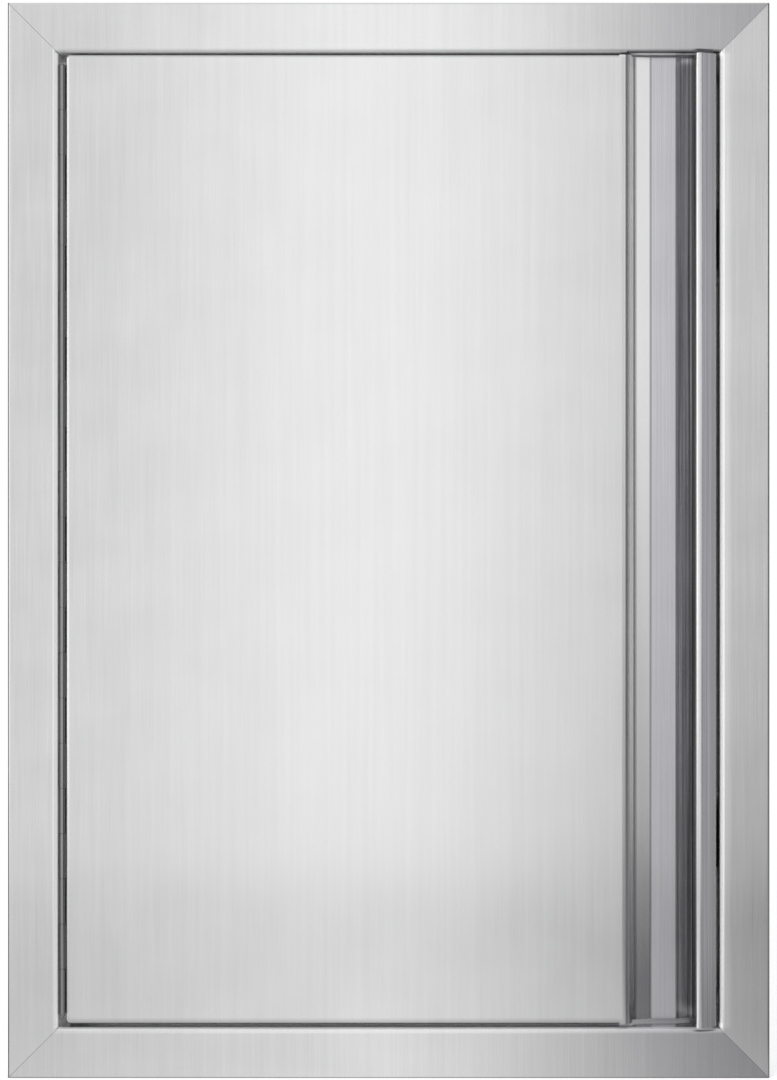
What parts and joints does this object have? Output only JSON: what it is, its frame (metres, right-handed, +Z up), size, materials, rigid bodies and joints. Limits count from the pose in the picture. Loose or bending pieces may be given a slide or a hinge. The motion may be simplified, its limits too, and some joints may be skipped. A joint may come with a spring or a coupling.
{
  "type": "bbq island access door",
  "caption": "Stainless access door for a masonry barbecue island: mitred frame that lines the cut-out, double-walled door on a continuous hinge, full-height pull, magnetic catches.",
  "frame": {"origin": "centre of the opening, in the plane of the island's outer face, which the frame's lip rests on", "axes": "+Z up, +Y into the island, so that the front faces -Y, and +X to the right seen from outside"},
  "size_m": [0.4318, 0.0578, 0.6096],
  "materials": {
    "frame_steel": "stainless steel sheet with a vertical satin grain",
    "door_steel": "stainless steel sheet with a vertical satin grain",
    "inner_steel": "stainless steel sheet, plain mill finish",
    "hinge_steel": "stainless steel, plain bright rolled finish",
    "rivet_steel": "stainless steel, tumbled",
    "catch_plastic": "black moulded plastic with a fine texture",
    "magnet": "sintered ferrite, dull dark grey",
    "plated_steel": "bright zinc plating"
  },
  "bodies": {
    "frame": {"frame_top_rail": "frame_steel", "frame_bottom_rail": "frame_steel", "frame_left_stile": "frame_steel", "frame_right_stile": "frame_steel", "corner_plates": "inner_steel", "hinge_frame_leaf": "hinge_steel", "hinge_pin": "hinge_steel", "hinge_frame_rivets": "rivet_steel", "upper_catch_case": "catch_plastic", "lower_catch_case": "catch_plastic", "upper_catch_magnet": "magnet", "lower_catch_magnet": "magnet", "upper_pole_plates": "plated_steel", "lower_pole_plates": "plated_steel", "catch_screws": "plated_steel"},
    "door": {"door_skin": "door_steel", "door_liner": "inner_steel", "upper_stiffener": "inner_steel", "lower_stiffener": "inner_steel", "hinge_door_leaf": "hinge_steel", "hinge_door_rivets": "rivet_steel", "upper_strike_plate": "plated_steel", "lower_strike_plate": "plated_steel"}
  },
  "joints": [
    {"name": "door_swing", "type": "hinge", "parent": "frame", "child": "door", "pos_m": [-0.18525, -0.0075, 0.0005], "axis": [0, 0, -1], "range_deg": [0, 110]}
  ]
}
